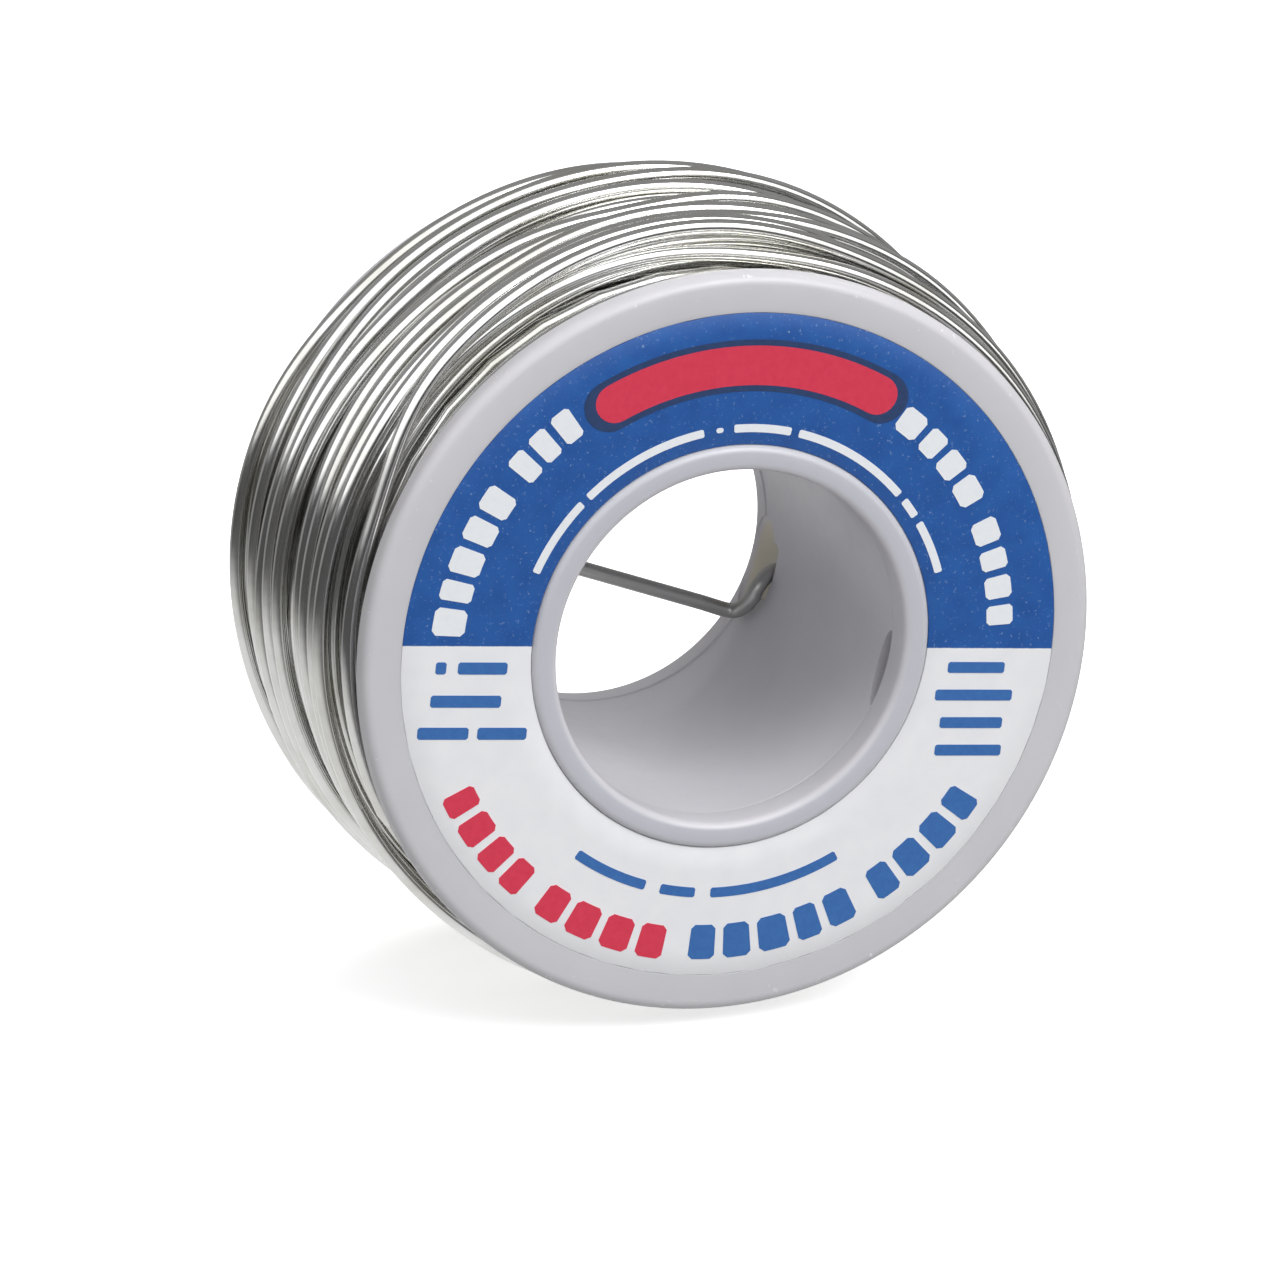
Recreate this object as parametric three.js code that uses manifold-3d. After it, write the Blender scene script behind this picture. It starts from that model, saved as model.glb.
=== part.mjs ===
// A half-pound spool of rosin core solder wire, in millimetres.
//
// The spool is two plastic mouldings that push together. The front half carries the barrel that the wire
// is wound on, and the rear half carries a sleeve that lines the bore. A ring of printed paper is stuck
// on each flange. The start of the wire comes through a slot in the hub and is bent across the bore, and
// its cut end lies on the winding beside the front flange.
//
// The spool's axis is Y and its front flange faces -Y. Z is up, and the origin is in the middle of the bore.

import * as THREE from "three";
import { mergeVertices } from "three/addons/utils/BufferGeometryUtils.js";
import Module from "manifold-3d";

const wasm = await Module();
wasm.setup();

// Driving dimensions
const wireDiameter = 1.575; // 0.062 in
const fluxDiameter = 0.54;
const fluxGap = 0.09; // round the flux in its hole
const flangeDiameter = 74;
const flangeThickness = 2.6;
const windingWidth = 37.6; // between the flanges
const boreDiameter = 35.4;
const sleeveWall = 2.0; // lines the bore
const barrelWall = 2.3; // carries the wire
const socketWall = 1.5; // ring in the front flange that holds the sleeve's end
const spigotWall = 1.5; // ring on the rear flange that plugs the barrel's end
const ringSpacing = 0.25; // between those two rings, seen along the axis
const jointDepth = 4; // how far the socket and the spigot reach
const lipLength = 0.7; // the front flange's lip round the bore, past its inner face
const lipStep = 0.15; // the sleeve's bore is this much wider than the lip
const collarWidth = 2.5;
const collarHeight = 0.45;
const collarRound = 0.75; // rounding of the collar's edges
const rimRadius = 1.1; // rounding of the flange's rim, outside
const rimInnerRadius = 0.5; // and inside
const flangeBorder = 3.75; // plain band outside the label's seat
const labelThickness = 0.15;
const labelSeatDepth = 0.2;
const slotClearance = 1.625; // over the wire's diameter, along the axis
const slotLength = 6.4; // round the hub
const slotAngle = -16.5; // degrees above the horizontal, on the right
const slotOffset = 0.9; // from the flange's inner face to the slot
const fullLayers = 7; // layers of wire that fill the whole width
const outerLayerSetback = 8.1; // the last layer stops this far short of the front flange
const layerEdge = 0.7; // rounding of the winding's edges
const fitGap = 0.3; // between pieces that touch
const paperGap = 0.05; // glue line under a label
const labelMargin = 0.1; // between a label's edge and its seat

const roundSteps = 48; // flat facets round the axis
const arcSteps = 1; // half the steps on a quarter round
const wireSides = 8;

// Worked out from them
const boreRadius = boreDiameter / 2;
const innerFace = windingWidth / 2;
const outerFace = innerFace + flangeThickness;
const sleeveBore = boreRadius + lipStep;
const sleeveRadius = sleeveBore + sleeveWall;
const socketBore = sleeveRadius + fitGap;
const socketRadius = socketBore + socketWall;
const spigotBore = socketRadius + ringSpacing;
const spigotRadius = spigotBore + spigotWall;
const barrelBore = spigotRadius + fitGap;
const barrelRadius = barrelBore + barrelWall;
const collarRadius = boreRadius + collarWidth;
const flangeRadius = flangeDiameter / 2;
const seatRadius = flangeRadius - flangeBorder;
const seatFace = outerFace - labelSeatDepth;
const insideFlange = innerFace + flangeThickness / 2; // where the hub's tubes end, in the flange's wall
const wireRadius = wireDiameter / 2;
const windingInner = barrelRadius + fitGap;
const fullLayersRadius = windingInner + fullLayers * wireDiameter;
const outerLayerInner = fullLayersRadius + fitGap;
const outerLayerRadius = outerLayerInner + wireDiameter;
const windingEnd = innerFace - fitGap;
const slotWidth = wireDiameter + slotClearance;
const slotMiddle = innerFace - slotOffset - slotWidth / 2;

const plastic = { color: 0xd9d6d6, roughness: 0.4, metalness: 0 };
const paper = { color: 0x2f62a8, roughness: 0.5, metalness: 0 };
const solder = { color: 0xb9b8b4, roughness: 0.25, metalness: 1 };
const rosin = { color: 0xa8762e, roughness: 0.3, metalness: 0 };

// Solids

function solidOf(geometry) {
  const plain = geometry.clone();
  plain.deleteAttribute("normal");
  plain.deleteAttribute("uv");
  const merged = mergeVertices(plain, 1e-4);
  return new wasm.Manifold(
    new wasm.Mesh({
      numProp: 3,
      vertProperties: merged.attributes.position.array,
      triVerts: new Uint32Array(merged.index.array),
    }),
  );
}

function geometryOf(solid) {
  const mesh = solid.getMesh();
  const geometry = new THREE.BufferGeometry();
  geometry.setAttribute("position", new THREE.BufferAttribute(mesh.vertProperties, 3));
  geometry.setIndex(new THREE.BufferAttribute(mesh.triVerts, 1));
  geometry.computeVertexNormals();
  return geometry;
}

// A ring turned about the spool's axis from a closed outline of radius and place along the axis.
function turned(outline) {
  const points = outline.getPoints(arcSteps);
  const last = points[points.length - 1];
  if (last.distanceTo(points[0]) > 1e-6) points.push(points[0].clone());
  if (THREE.ShapeUtils.area(points) < 0) points.reverse();
  return new THREE.LatheGeometry(points, roundSteps);
}

function rectangle(inner, outer, start, end) {
  const outline = new THREE.Path();
  outline.moveTo(inner, start);
  outline.lineTo(outer, start);
  outline.lineTo(outer, end);
  outline.lineTo(inner, end);
  outline.closePath();
  return outline;
}

function tube(inner, outer, start, end) {
  return turned(rectangle(inner, outer, start, end));
}

// The same outline on the other side of the middle plane
function onSide(geometry, side) {
  return side < 0 ? geometry.rotateX(Math.PI) : geometry;
}

// Flange with its seat for the label and the raised collar round the bore, on the +Y side
function flange() {
  const crest = outerFace + collarHeight;
  const outline = new THREE.Path();
  outline.moveTo(boreRadius, innerFace);
  outline.lineTo(flangeRadius - rimInnerRadius, innerFace);
  outline.absarc(flangeRadius - rimInnerRadius, innerFace + rimInnerRadius, rimInnerRadius, -Math.PI / 2, 0);
  outline.lineTo(flangeRadius, outerFace - rimRadius);
  outline.absarc(flangeRadius - rimRadius, outerFace - rimRadius, rimRadius, 0, Math.PI / 2);
  outline.lineTo(seatRadius, outerFace);
  outline.lineTo(seatRadius, seatFace);
  outline.lineTo(collarRadius, seatFace);
  outline.absarc(collarRadius - collarRound, crest - collarRound, collarRound, 0, Math.PI / 2);
  outline.lineTo(boreRadius + collarRound, crest);
  outline.absarc(boreRadius + collarRound, crest - collarRound, collarRound, Math.PI / 2, Math.PI);
  outline.closePath();
  return turned(outline);
}

// Cutter for the slot that lets the wire through the hub into the bore
function slotCutter(side) {
  const half = slotWidth / 2;
  const run = slotLength / 2 - half;
  const stadium = new THREE.Shape();
  stadium.absarc(run, 0, half, -Math.PI / 2, Math.PI / 2);
  stadium.absarc(-run, 0, half, Math.PI / 2, (3 * Math.PI) / 2);
  stadium.closePath();
  const start = boreRadius - 3;
  const cutter = new THREE.ExtrudeGeometry(stadium, {
    depth: barrelRadius + 1 - start,
    bevelEnabled: false,
    curveSegments: 6,
  });
  cutter.translate(0, 0, start); // it runs out along Z, with its length along X and its width along Y
  cutter.rotateY(THREE.MathUtils.degToRad(90 - slotAngle));
  cutter.translate(0, side * slotMiddle, 0);
  return solidOf(cutter);
}

// Front moulding: flange, lip, the socket for the sleeve, and the winding barrel
function frontHalf() {
  const lip = tube(boreRadius, sleeveRadius, innerFace - lipLength, insideFlange);
  const socket = tube(socketBore, socketRadius, innerFace - jointDepth, insideFlange);
  const barrel = tube(barrelBore, barrelRadius, fitGap - innerFace, insideFlange);
  return [lip, socket, barrel]
    .reduce((solid, piece) => solid.add(solidOf(onSide(piece, -1))), solidOf(onSide(flange(), -1)))
    .subtract(slotCutter(-1))
    .subtract(slotCutter(1));
}

// Rear moulding: flange, the spigot that plugs the barrel, and the sleeve that lines the bore
function rearHalf() {
  const spigot = tube(spigotBore, spigotRadius, innerFace - jointDepth, insideFlange);
  const sleeve = tube(sleeveBore, sleeveRadius, lipLength + fitGap - innerFace, insideFlange);
  return [spigot, sleeve]
    .reduce((solid, piece) => solid.add(solidOf(piece)), solidOf(flange()))
    .subtract(slotCutter(-1))
    .subtract(slotCutter(1));
}

function label(side) {
  const start = seatFace + paperGap;
  const ring = tube(collarRadius + labelMargin, seatRadius - labelMargin, start, start + labelThickness);
  return onSide(ring, side);
}

// Outer shape of the wound wire, with its edges eased
function winding(inner, outer, start, end) {
  const outline = new THREE.Path();
  outline.moveTo(inner, start);
  outline.lineTo(outer - layerEdge, start);
  outline.absarc(outer - layerEdge, start + layerEdge, layerEdge, -Math.PI / 2, 0);
  outline.lineTo(outer, end - layerEdge);
  outline.absarc(outer - layerEdge, end - layerEdge, layerEdge, 0, Math.PI / 2);
  outline.lineTo(inner, end);
  outline.closePath();
  return turned(outline);
}

// A point at a radius and an angle in degrees about the axis, and a place along it
function polar(radius, angle, along) {
  const turn = THREE.MathUtils.degToRad(angle);
  return new THREE.Vector3(radius * Math.cos(turn), along, radius * Math.sin(turn));
}

// The wire's start: through the rear slot, round the wall of the bore, and straight across it
function startTailRoute() {
  const wallPath = boreRadius - wireRadius - 0.2;
  const bend = polar(wallPath - 0.3, -34.5, slotMiddle + 1.1);
  const tip = polar(wallPath - 0.3, 173, slotMiddle + 1.4);
  const across = [0.12, 0.35, 0.6, 0.85, 1].map((share) => bend.clone().lerp(tip, share));
  return [
    polar(barrelRadius - 0.4, -13, slotMiddle),
    polar(barrelBore - 1, -13.2, slotMiddle),
    polar(sleeveRadius + 0.5, -13.8, slotMiddle - 0.4),
    polar(sleeveBore + 0.1, -16.6, slotMiddle - 0.7),
    polar(wallPath, -21.5, slotMiddle - 1.5),
    polar(wallPath, -26, slotMiddle - 1.35),
    polar(wallPath, -30.5, slotMiddle - 0.4),
    bend,
    ...across,
  ];
}

// The wire's cut end: down over the full layers, close beside the front flange
function freeEndRoute() {
  const radius = outerLayerInner + wireRadius + 0.02;
  const start = { angle: 148, along: 3.6 - innerFace };
  const end = { angle: 206, along: 1.5 - innerFace };
  const steps = 12;
  return Array.from({ length: steps + 1 }, (_, i) => {
    const share = i / steps;
    const along = start.along + (end.along - start.along) * share;
    return polar(radius, start.angle + (end.angle - start.angle) * share, along);
  });
}

function circle(diameter, sides) {
  const shape = new THREE.Shape();
  for (let i = 0; i < sides; i++) {
    const turn = (i / sides) * 2 * Math.PI;
    const x = (Math.cos(turn) * diameter) / 2;
    const y = (Math.sin(turn) * diameter) / 2;
    if (i === 0) shape.moveTo(x, y);
    else shape.lineTo(x, y);
  }
  shape.closePath();
  return shape;
}

function alongRoute(route, section, steps) {
  const path = new THREE.CatmullRomCurve3(route);
  return new THREE.ExtrudeGeometry(section, { steps, extrudePath: path, curveSegments: 1 });
}

function solderWire(route, steps) {
  const section = circle(wireDiameter, wireSides);
  section.holes.push(circle(fluxDiameter + 2 * fluxGap, wireSides));
  return alongRoute(route, section, steps);
}

function fluxCore(route, steps) {
  return alongRoute(route, circle(fluxDiameter, wireSides), steps);
}

// The assembly

const spool = new THREE.Group();

function addNode(name, geometry, finish) {
  const mesh = new THREE.Mesh(geometry, new THREE.MeshStandardMaterial(finish));
  mesh.name = name;
  spool.add(mesh);
}

const tailSteps = 36;
const endSteps = 18;

addNode("front_flange_and_barrel", geometryOf(frontHalf()), plastic);
addNode("rear_flange_and_sleeve", geometryOf(rearHalf()), plastic);
addNode("front_label", label(-1), paper);
addNode("rear_label", label(1), paper);
addNode("wire_full_layers", winding(windingInner, fullLayersRadius, -windingEnd, windingEnd), solder);
addNode(
  "wire_outer_layer",
  winding(outerLayerInner, outerLayerRadius, outerLayerSetback - innerFace, windingEnd),
  solder,
);
addNode("wire_start_tail", solderWire(startTailRoute(), tailSteps), solder);
addNode("flux_core_in_start_tail", fluxCore(startTailRoute(), tailSteps), rosin);
addNode("wire_free_end", solderWire(freeEndRoute(), endSteps), solder);
addNode("flux_core_in_free_end", fluxCore(freeEndRoute(), endSteps), rosin);

export default spool;
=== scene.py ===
"""A half-pound spool of rosin core solder wire, on a pale floor.

The wire is wound turn by turn from the slot in the hub to its cut end. The two plastic mouldings are
turned from their outlines, and the labels are rings of paper with the print laid on as ink.
Lengths are in millimetres until a mesh is made. The spool's axis is Y, and its front faces -Y.
"""

import math

import bmesh
import bpy
import numpy as np
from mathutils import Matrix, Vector


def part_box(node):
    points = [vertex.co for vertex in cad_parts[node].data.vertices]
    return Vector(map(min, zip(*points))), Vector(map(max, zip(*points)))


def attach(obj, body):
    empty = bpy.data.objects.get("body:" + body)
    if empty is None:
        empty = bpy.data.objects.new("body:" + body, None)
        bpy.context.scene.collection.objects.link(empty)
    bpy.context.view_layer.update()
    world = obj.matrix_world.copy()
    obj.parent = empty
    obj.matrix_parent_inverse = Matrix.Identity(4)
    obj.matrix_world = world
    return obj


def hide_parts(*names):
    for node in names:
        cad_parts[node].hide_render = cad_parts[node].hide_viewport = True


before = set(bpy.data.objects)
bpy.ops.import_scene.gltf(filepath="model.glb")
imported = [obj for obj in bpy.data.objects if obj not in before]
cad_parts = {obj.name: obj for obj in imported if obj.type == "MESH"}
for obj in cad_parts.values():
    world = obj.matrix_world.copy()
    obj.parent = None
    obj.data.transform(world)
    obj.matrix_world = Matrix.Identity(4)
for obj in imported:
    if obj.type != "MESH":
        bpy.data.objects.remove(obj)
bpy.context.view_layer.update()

MM = 0.001
X, Y = 0, 1  # places in a corner or a point


def reach(node, axis):
    """How far a CAD node reaches from the spool's middle along an axis, to 0.01 mm."""
    return round(max(abs(corner[axis]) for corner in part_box(node)) / MM, 2)


# The wire
WIRE_DIAMETER = 1.575  # 0.062 in
FLUX_DIAMETER = 0.54
FLUX_GAP = 0.05  # round the flux in its hole

# The spool's places along its axis, out from the middle
FIT_GAP = 0.3  # between pieces that touch
INNER_FACE = reach("wire_full_layers", Y) + FIT_GAP  # of the flanges
COLLAR_CREST = reach("front_flange_and_barrel", Y)
OUTER_FACE = COLLAR_CREST - 0.45
SEAT_FACE = OUTER_FACE - 0.2
LABEL_FACE = reach("front_label", Y)
JOINT_DEPTH = 4.0  # how far the socket and the spigot reach
LIP_LENGTH = 0.7  # the front flange's lip round the bore

# The spool's radii, out from the bore
BORE_RADIUS = 17.7
COLLAR_RADIUS = BORE_RADIUS + 2.5
SLEEVE_BORE = BORE_RADIUS + 0.15
SLEEVE_RADIUS = SLEEVE_BORE + 2.0
SOCKET_BORE = SLEEVE_RADIUS + FIT_GAP
SOCKET_RADIUS = SOCKET_BORE + 1.5
SPIGOT_BORE = SOCKET_RADIUS + 0.25
SPIGOT_RADIUS = SPIGOT_BORE + 1.5
BARREL_BORE = SPIGOT_RADIUS + FIT_GAP
BARREL_RADIUS = BARREL_BORE + 2.3
FLANGE_RADIUS = reach("front_flange_and_barrel", X)
SEAT_RADIUS = FLANGE_RADIUS - 3.75

# The slots in the hub, near each flange
SLOT_ANGLE = -16.5  # degrees above the horizontal, on the right
SLOT_LENGTH = 6.4  # round the hub
SLOT_WIDTH = 3.2
SLOT_MIDDLE = INNER_FACE - 0.9 - SLOT_WIDTH / 2

wire_radius = WIRE_DIAMETER / 2
on_hub = BARREL_RADIUS + wire_radius + 0.05  # the wire's middle in its first layer


# Camera

AZIMUTH, ELEVATION = math.radians(-18.75), math.radians(17.76)
CAMERA_AIM = Vector((-8.23, -18.34, 0.66))
CAMERA_DISTANCE = 859.5
LENS, SENSOR = 251.7, 36


def place_camera():
    back = Vector((math.sin(AZIMUTH) * math.cos(ELEVATION), -math.cos(AZIMUTH) * math.cos(ELEVATION),
                   math.sin(ELEVATION)))
    camera = bpy.data.objects.new("camera", bpy.data.cameras.new("camera"))
    bpy.context.scene.collection.objects.link(camera)
    camera.data.lens = LENS
    camera.data.sensor_width = SENSOR
    camera.data.clip_start = 0.01
    camera.location = (CAMERA_AIM + back * CAMERA_DISTANCE) * MM
    camera.rotation_mode = "QUATERNION"
    camera.rotation_quaternion = (-back).to_track_quat("-Z", "Y")
    bpy.context.scene.camera = camera


place_camera()


# Materials

# Sockets that go by number: the ends of a Map Range, a Mix node's two plain values, and the two colours
# and the result of one that mixes colours
LOW, HIGH, TO_LOW, TO_HIGH = 1, 2, 3, 4
VALUE_A, VALUE_B = 2, 3
MIX_A, MIX_B, MIXED = 6, 7, 2


def linear(colour):
    """An sRGB hex colour as linear RGBA."""
    parts = [int(colour[i:i + 2], 16) / 255 for i in (1, 3, 5)]
    return [c / 12.92 if c <= 0.04045 else ((c + 0.055) / 1.055) ** 2.4 for c in parts] + [1.0]


def per_mm(size):
    """Texture scale, in repeats per metre, of a pattern whose features are size millimetres."""
    return 1000.0 / size


def add(tree, kind, inputs=(), **settings):
    """A node with its settings, and its sockets set or linked."""
    made = tree.nodes.new("ShaderNode" + kind)
    for key, value in settings.items():
        setattr(made, key, value)
    for key, value in dict(inputs).items():
        if isinstance(value, bpy.types.NodeSocket):
            tree.links.new(value, made.inputs[key])
        else:
            made.inputs[key].default_value = value
    return made


def new_material(name):
    material = bpy.data.materials.new(name)
    material.use_nodes = True
    material.node_tree.nodes.clear()
    return material, material.node_tree


def moulded_polystyrene():
    """Natural high-impact polystyrene, injection moulded. It is milky and lets a little light into its
    edges, with a satin skin, faint cloudy flow marks and fine rubs from handling."""
    material, tree = new_material("moulded_polystyrene")
    place = add(tree, "TexCoord").outputs["Object"]
    cloud = add(tree, "TexNoise", {"Vector": place, "Scale": per_mm(14), "Detail": 3.0, "Roughness": 0.55})
    colour = add(tree, "Mix", {0: cloud.outputs[0], MIX_A: linear("#C6C5CA"), MIX_B: linear("#D6D5D9")},
                 data_type="RGBA")
    # painted shade: the collar is painted a little darker and cooler, standing in for how its thin plastic
    # looks edge on
    flat = add(tree, "VectorMath", {0: place, 1: (1.0, 0.0, 1.0)}, operation="MULTIPLY")
    radius = add(tree, "VectorMath", {0: flat.outputs[0]}, operation="LENGTH").outputs["Value"]
    along = add(tree, "SeparateXYZ", {0: place}).outputs[1]
    inside = add(tree, "MapRange", {
        "Value": radius, LOW: (BORE_RADIUS + 0.25) * MM, HIGH: (BORE_RADIUS + 0.6) * MM})
    outside = add(tree, "MapRange", {
        "Value": radius, LOW: (COLLAR_RADIUS - 0.7) * MM, HIGH: COLLAR_RADIUS * MM,
        TO_LOW: 1.0, TO_HIGH: 0.25})
    from_middle = add(tree, "Math", {0: along}, operation="ABSOLUTE")
    proud = add(tree, "MapRange", {
        "Value": from_middle.outputs[0], LOW: SEAT_FACE * MM, HIGH: (SEAT_FACE + 0.3) * MM})
    thin = add(tree, "Math", {0: inside.outputs[0], 1: outside.outputs[0]}, operation="MULTIPLY")
    collar = add(tree, "Math", {0: thin.outputs[0], 1: proud.outputs[0]}, operation="MULTIPLY")
    # the collar's painted shade, mixed over the plastic's own colour
    colour = add(tree, "Mix", {
        0: collar.outputs[0], MIX_A: colour.outputs[MIXED], MIX_B: linear("#C2C3CB")}, data_type="RGBA")
    # knocks have left pale nicks along the rim
    knock = add(tree, "TexNoise", {"Vector": place, "Scale": per_mm(1.1), "Detail": 3.0, "Roughness": 0.7})
    nick = add(tree, "MapRange", {"Value": knock.outputs[0], LOW: 0.66, HIGH: 0.72})
    rim = add(tree, "MapRange", {
        "Value": radius, LOW: (FLANGE_RADIUS - 2.2) * MM, HIGH: (FLANGE_RADIUS - 0.3) * MM,
        TO_LOW: 0.0, TO_HIGH: 0.9})
    nicked = add(tree, "Math", {0: nick.outputs[0], 1: rim.outputs[0]}, operation="MULTIPLY")
    colour = add(tree, "Mix", {
        0: nicked.outputs[0], MIX_A: colour.outputs[MIXED], MIX_B: linear("#F6F6F8")}, data_type="RGBA")
    # flux from the wire has stained the scoop round its slot, at the rear
    deep = add(tree, "MapRange", {
        "Value": radius, LOW: (SLEEVE_BORE + 0.1) * MM, HIGH: (SLEEVE_BORE + 0.4) * MM,
        TO_LOW: 0.0, TO_HIGH: 0.8})
    rear = add(tree, "Math", {0: along, 1: (SLOT_MIDDLE - 2.3) * MM}, operation="GREATER_THAN")
    stained = add(tree, "Math", {0: deep.outputs[0], 1: rear.outputs[0]}, operation="MULTIPLY")
    sunk = add(tree, "Math", {0: 1.0, 1: proud.outputs[0]}, operation="SUBTRACT")
    stained = add(tree, "Math", {0: stained.outputs[0], 1: sunk.outputs[0]}, operation="MULTIPLY")
    hub = add(tree, "Math", {0: radius, 1: SLEEVE_RADIUS * MM}, operation="LESS_THAN")
    stained = add(tree, "Math", {0: stained.outputs[0], 1: hub.outputs[0]}, operation="MULTIPLY")
    colour = add(tree, "Mix", {
        0: stained.outputs[0], MIX_A: colour.outputs[MIXED], MIX_B: linear("#D8D2BC")}, data_type="RGBA")
    # the skin is satin, with fine rubs from handling over shallow sinks
    skin = add(tree, "TexNoise", {"Vector": place, "Scale": per_mm(1.6), "Detail": 4.0, "Roughness": 0.6})
    rough = add(tree, "MapRange", {
        "Value": skin.outputs[0], LOW: 0.3, HIGH: 0.7, TO_LOW: 0.33, TO_HIGH: 0.47})
    rub_place = add(tree, "Mapping", {
        "Vector": place, "Rotation": (0.3, 0.2, 0.9), "Scale": (1.0, 1.0, 9.0)})
    rub = add(tree, "TexNoise", {"Vector": rub_place.outputs[0], "Scale": per_mm(3.0), "Detail": 5.0})
    sink = add(tree, "TexNoise", {"Vector": place, "Scale": per_mm(9), "Detail": 1.0})
    soft = add(tree, "Bump", {"Height": sink.outputs[0], "Strength": 0.35, "Distance": 0.06 * MM})
    fine = add(tree, "Bump", {"Height": skin.outputs[0], "Strength": 0.25, "Distance": 0.012 * MM,
                              "Normal": soft.outputs[0]})
    scuff = add(tree, "Bump", {"Height": rub.outputs[0], "Strength": 0.2, "Distance": 0.01 * MM,
                               "Normal": fine.outputs[0]})
    shader = add(tree, "BsdfPrincipled", {
        "Base Color": colour.outputs[MIXED], "Roughness": rough.outputs[0], "Normal": scuff.outputs[0],
        "IOR": 1.59, "Subsurface Weight": 0.4, "Subsurface Radius": (1.0, 0.92, 0.86),
        "Subsurface Scale": 2.2 * MM})
    add(tree, "OutputMaterial", {"Surface": shader.outputs[0]})
    return material


def paper_surface(tree, place, colour, roughness):
    """Coated label paper: fine fibre bump under a thin print varnish."""
    fibre = add(tree, "TexNoise", {"Vector": place, "Scale": per_mm(0.5), "Detail": 5.0, "Roughness": 0.65})
    lie = add(tree, "TexNoise", {"Vector": place, "Scale": per_mm(7), "Detail": 1.0})
    slow = add(tree, "Bump", {"Height": lie.outputs[0], "Strength": 0.4, "Distance": 0.05 * MM})
    bump = add(tree, "Bump", {"Height": fibre.outputs[0], "Strength": 0.35, "Distance": 0.012 * MM,
                              "Normal": slow.outputs[0]})
    return add(tree, "BsdfPrincipled", {
        "Base Color": colour, "Roughness": roughness, "Normal": bump.outputs[0], "IOR": 1.5,
        "Coat Weight": 0.12, "Coat Roughness": 0.3})


LABEL_TILT = -6.1  # degrees that the label is turned on the spool, seen from the front


def printed_label_paper(name, tilt, coloured):
    """White coated paper, offset printed blue over its upper half where it is coloured. The ink has the
    fine light specks of a cheap print run, and stops on a straight line with a slightly uneven edge."""
    material, tree = new_material(name)
    place = add(tree, "TexCoord").outputs["Object"]
    speck = add(tree, "TexNoise", {
        "Vector": place, "Scale": per_mm(0.42), "Detail": 4.0, "Roughness": 0.75})
    mottle = add(tree, "TexNoise", {"Vector": place, "Scale": per_mm(2.2), "Detail": 3.0})
    shade = add(tree, "Mix", {0: mottle.outputs[0], MIX_A: linear("#0B4791"), MIX_B: linear("#1B60AF")},
                data_type="RGBA")
    show = add(tree, "MapRange", {
        "Value": speck.outputs[0], LOW: 0.60, HIGH: 0.72, TO_LOW: 0.0, TO_HIGH: 0.42})
    ink = add(tree, "Mix", {0: show.outputs[0], MIX_A: shade.outputs[MIXED], MIX_B: linear("#B9CFEA")},
              data_type="RGBA")
    white = add(tree, "Mix", {0: mottle.outputs[0], MIX_A: linear("#ECEDF1"), MIX_B: linear("#F7F7FA")},
                data_type="RGBA")
    turn = math.radians(tilt + 90)
    side = add(tree, "VectorMath", {0: place, 1: (math.cos(turn), 0.0, math.sin(turn))},
               operation="DOT_PRODUCT")
    uneven = add(tree, "MapRange", {"Value": speck.outputs[0], TO_LOW: -0.07 * MM, TO_HIGH: 0.07 * MM})
    edge = add(tree, "Math", {0: side.outputs["Value"], 1: uneven.outputs[0]}, operation="ADD")
    blue = add(tree, "MapRange", {"Value": edge.outputs[0], LOW: -0.03 * MM, HIGH: 0.03 * MM,
                                  TO_LOW: 0.0, TO_HIGH: 1.0 if coloured else 0.0})
    colour = add(tree, "Mix", {0: blue.outputs[0], MIX_A: white.outputs[MIXED], MIX_B: ink.outputs[MIXED]},
                 data_type="RGBA")
    rough = add(tree, "MapRange", {"Value": mottle.outputs[0], TO_LOW: 0.42, TO_HIGH: 0.54})
    shader = paper_surface(tree, place, colour.outputs[MIXED], rough.outputs[0])
    add(tree, "OutputMaterial", {"Surface": shader.outputs[0]})
    return material


def printing_ink(name, dark, light):
    """Offset printing ink on coated paper: a flat, very slightly glossy film with mottled cover."""
    material, tree = new_material(name)
    place = add(tree, "TexCoord").outputs["Object"]
    mottle = add(tree, "TexNoise", {"Vector": place, "Scale": per_mm(0.6), "Detail": 4.0, "Roughness": 0.7})
    colour = add(tree, "Mix", {0: mottle.outputs[0], MIX_A: linear(dark), MIX_B: linear(light)},
                 data_type="RGBA")
    rough = add(tree, "MapRange", {"Value": mottle.outputs[0], TO_LOW: 0.36, TO_HIGH: 0.5})
    shader = paper_surface(tree, place, colour.outputs[MIXED], rough.outputs[0])
    add(tree, "OutputMaterial", {"Surface": shader.outputs[0]})
    return material


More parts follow.
